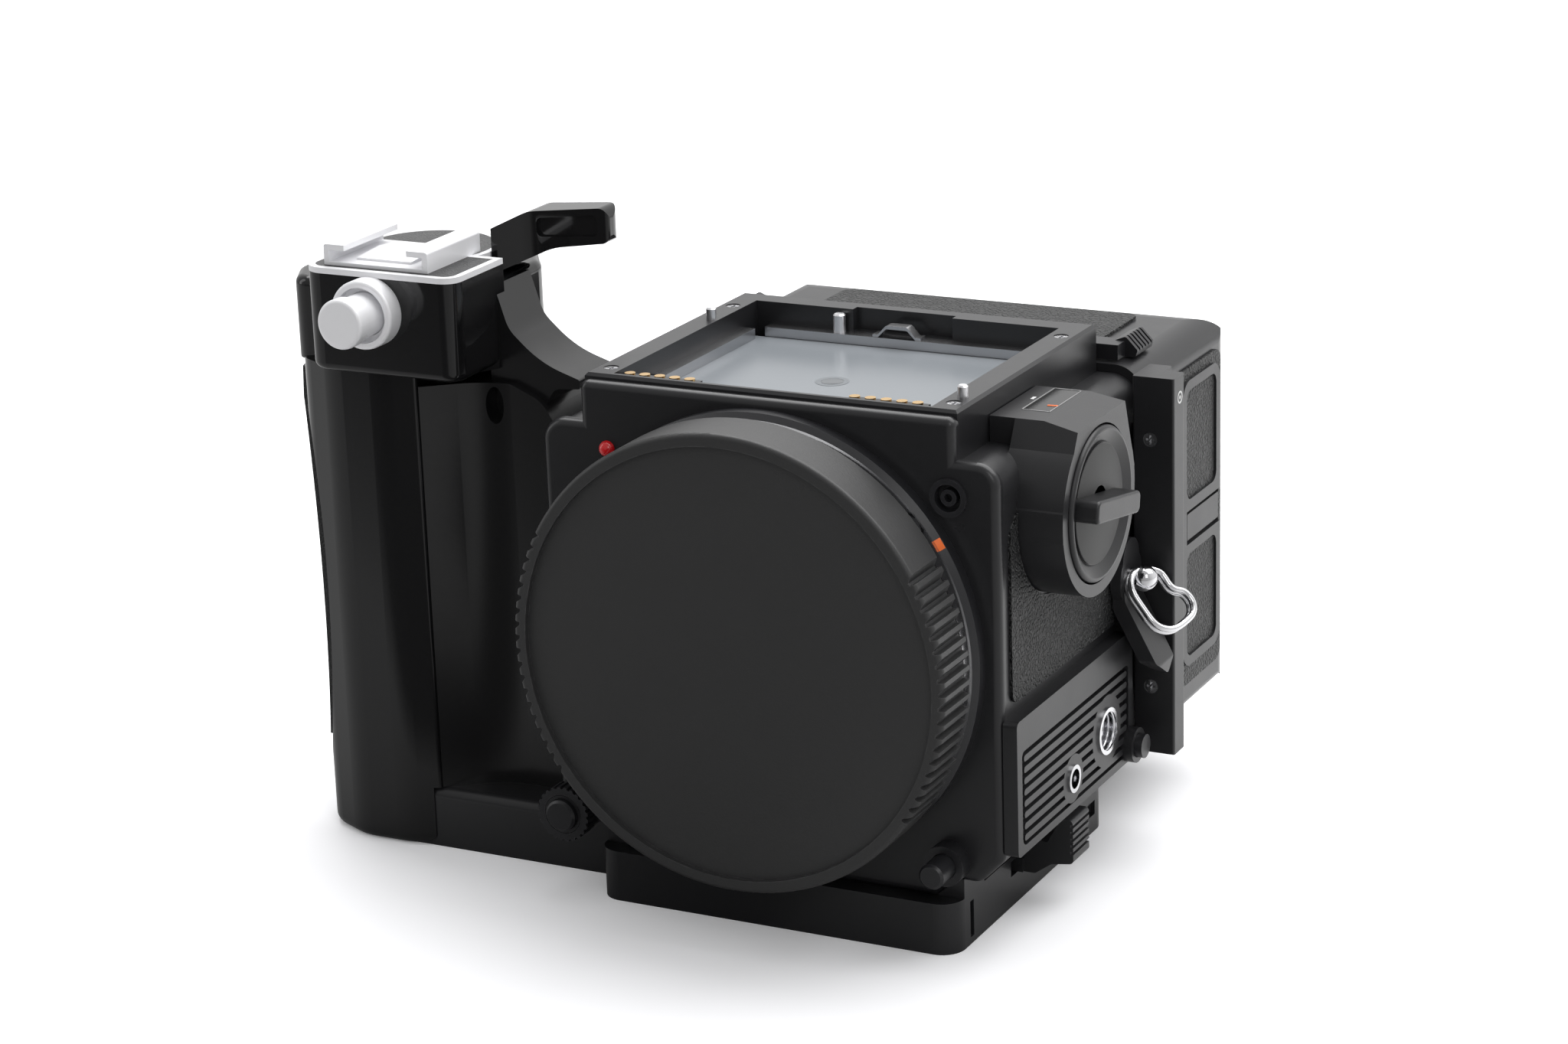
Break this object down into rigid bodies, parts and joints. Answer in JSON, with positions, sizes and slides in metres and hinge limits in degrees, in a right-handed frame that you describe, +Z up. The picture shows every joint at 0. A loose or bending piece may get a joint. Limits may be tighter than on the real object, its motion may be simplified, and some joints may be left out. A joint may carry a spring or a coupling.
{
  "type": "medium format film camera",
  "caption": "Medium format single-lens reflex film camera with film back, open finder well, capped lens mount, base plate and speed grip with advance lever.",
  "frame": {"origin": "mouth of the tripod socket, on the base plate's underside", "axes": "+Z up, -Y out of the lens mount towards the subject, +X to the right seen from the front"},
  "size_m": [0.1539, 0.1194, 0.1134],
  "materials": {
    "satin_black": "satin black paint",
    "body_black": "satin black moulding",
    "gloss_black": "glossy black moulding",
    "matte_black": "fine matte black",
    "leather": "grained black leatherette",
    "chrome": "polished",
    "satin_silver": "satin silver",
    "steel": "bare steel",
    "gold": "gold plated",
    "glass": "ground glass",
    "mirror": "front silvered",
    "red": "red paint",
    "rubber": "fine grained rubber",
    "black_metal": "black anodised"
  },
  "bodies": {
    "camera": {"body_shell": "body_black", "front_plate": "satin_black", "mount_ring": "satin_black", "bayonet_ring": "chrome", "alignment_dot": "red", "mirror_box": "matte_black", "finder_frame": "satin_black", "finder_hardware": "steel", "finder_contacts": "gold", "screen_frame": "black_metal", "focusing_screen": "glass", "screen_springs": "black_metal", "dial_housing": "body_black", "dial_window": "glass", "body_leathers": "leather", "side_panel": "body_black", "accessory_socket": "chrome", "sync_terminal": "chrome", "remote_socket": "black_metal", "lens_release_collar": "black_metal", "strap_lug": "chrome", "back_frame": "body_black", "back_shell": "body_black", "back_trims": "body_black", "back_leathers": "leather", "film_insert": "matte_black", "base_plate": "satin_black", "tripod_bush": "steel", "grip_inner_shell": "gloss_black", "grip_outer_shell": "gloss_black", "grip_pad": "rubber", "grip_top_plate": "chrome", "grip_top_skin": "leather", "accessory_shoe": "satin_silver", "trigger_collar": "satin_silver", "coupling_housing": "gloss_black"},
    "mirror": {"mirror_carrier": "black_metal", "mirror_glass": "mirror"},
    "baffle": {"light_baffle": "matte_black"},
    "dial": {"shutter_dial": "body_black"},
    "cap": {"body_cap": "matte_black"},
    "release": {"release_button": "body_black"},
    "release_lock": {"release_lock_collar": "black_metal"},
    "lens_release": {"lens_release_button": "body_black"},
    "side_release": {"side_button": "body_black"},
    "exposure_arm": {"exposure_lever": "black_metal"},
    "ring": {"strap_ring": "chrome"},
    "dark_slide": {"dark_slide_sheet": "steel", "dark_slide_handle": "body_black", "dark_slide_screws": "steel"},
    "latch_r": {"latch_right": "black_metal"},
    "latch_l": {"latch_left": "black_metal"},
    "door": {"back_door": "body_black"},
    "takeup": {"takeup_spool": "matte_black"},
    "supply": {"supply_spool": "matte_black"},
    "trigger": {"trigger_button": "chrome"},
    "advance": {"advance_lever": "gloss_black", "lever_shaft": "steel"},
    "coupling": {"coupling_shaft": "steel"},
    "base_lock": {"lock_slide": "body_black"}
  },
  "joints": [
    {"name": "mirror_swing", "type": "hinge", "parent": "camera", "child": "mirror", "pos_m": [0, 0.024, 0.0775], "axis": [-1, 0, 0], "range_deg": [0, 43]},
    {"name": "baffle_swing", "type": "hinge", "parent": "camera", "child": "baffle", "pos_m": [0, 0.025, 0.0736], "axis": [-1, 0, 0], "range_deg": [0, 84]},
    {"name": "dial_turn", "type": "hinge", "parent": "camera", "child": "dial", "pos_m": [0.0485, -0.0079, 0.0725], "axis": [1, 0, 0], "continuous": true},
    {"name": "cap_twist", "type": "hinge", "parent": "camera", "child": "cap", "pos_m": [0, -0.03, 0.0506], "axis": [0, -1, 0], "range_deg": [0, 45]},
    {"name": "release_press", "type": "slide", "parent": "camera", "child": "release", "axis": [0, 1, 0], "range_m": [0, 0.0015], "stiffness_N_per_m": 200, "springref_m": -0.001},
    {"name": "release_lock_turn", "type": "hinge", "parent": "camera", "child": "release_lock", "pos_m": [-0.0385, -0.033, 0.015], "axis": [0, -1, 0], "range_deg": [0, 60]},
    {"name": "lens_release_press", "type": "slide", "parent": "camera", "child": "lens_release", "axis": [0, 1, 0], "range_m": [0, 0.002], "stiffness_N_per_m": 200, "springref_m": -0.001},
    {"name": "side_button_press", "type": "slide", "parent": "camera", "child": "side_release", "axis": [-1, 0, 0], "range_m": [0, 0.0015], "stiffness_N_per_m": 200, "springref_m": -0.001},
    {"name": "exposure_lever_swing", "type": "hinge", "parent": "camera", "child": "exposure_arm", "pos_m": [0.043, 0.0192, 0.051], "axis": [-1, 0, 0], "range_deg": [0, 20]},
    {"name": "strap_ring_swing", "type": "hinge", "parent": "camera", "child": "ring", "pos_m": [0.0466, 0.0192, 0.051], "axis": [-0.5, -0.866, 0], "range_deg": [0, 60]},
    {"name": "dark_slide_pull", "type": "slide", "parent": "camera", "child": "dark_slide", "axis": [1, 0, 0], "range_m": [0, 0.075]},
    {"name": "latch_right_press", "type": "slide", "parent": "camera", "child": "latch_r", "axis": [-1, 0, 0], "range_m": [0, 0.004], "stiffness_N_per_m": 200, "springref_m": -0.001},
    {"name": "latch_left_press", "type": "slide", "parent": "camera", "child": "latch_l", "axis": [1, 0, 0], "range_m": [0, 0.004], "stiffness_N_per_m": 200, "springref_m": -0.001},
    {"name": "door_open", "type": "hinge", "parent": "camera", "child": "door", "pos_m": [0, 0.0714, 0.01805], "axis": [-1, 0, 0], "range_deg": [0, 95]},
    {"name": "takeup_turn", "type": "hinge", "parent": "camera", "child": "takeup", "pos_m": [0, 0.0572, 0.0685], "axis": [1, 0, 0], "continuous": true},
    {"name": "supply_turn", "type": "hinge", "parent": "camera", "child": "supply", "pos_m": [0, 0.0572, 0.0335], "axis": [1, 0, 0], "continuous": true},
    {"name": "trigger_press", "type": "slide", "parent": "camera", "child": "trigger", "axis": [0, 1, 0], "range_m": [0, 0.002], "stiffness_N_per_m": 200, "springref_m": -0.001},
    {"name": "advance_swing", "type": "hinge", "parent": "camera", "child": "advance", "pos_m": [-0.0757, -0.0077, 0.103], "axis": [0, 0, 1], "range_deg": [0, 130], "stiffness_Nm_per_rad": 0.02, "springref_deg": -11.46},
    {"name": "coupling_spin", "type": "hinge", "parent": "camera", "child": "coupling", "pos_m": [-0.06, -0.0077, 0.054], "axis": [1, 0, 0], "range_deg": [-130, 0]},
    {"name": "base_lock_slide", "type": "slide", "parent": "camera", "child": "base_lock", "axis": [0, 1, 0], "range_m": [0, 0.006]}
  ],
  "couplings": [
    {"joint": "baffle_swing", "follows": "mirror_swing", "ratio": 1.95},
    {"joint": "coupling_spin", "follows": "advance_swing", "ratio": -1}
  ]
}
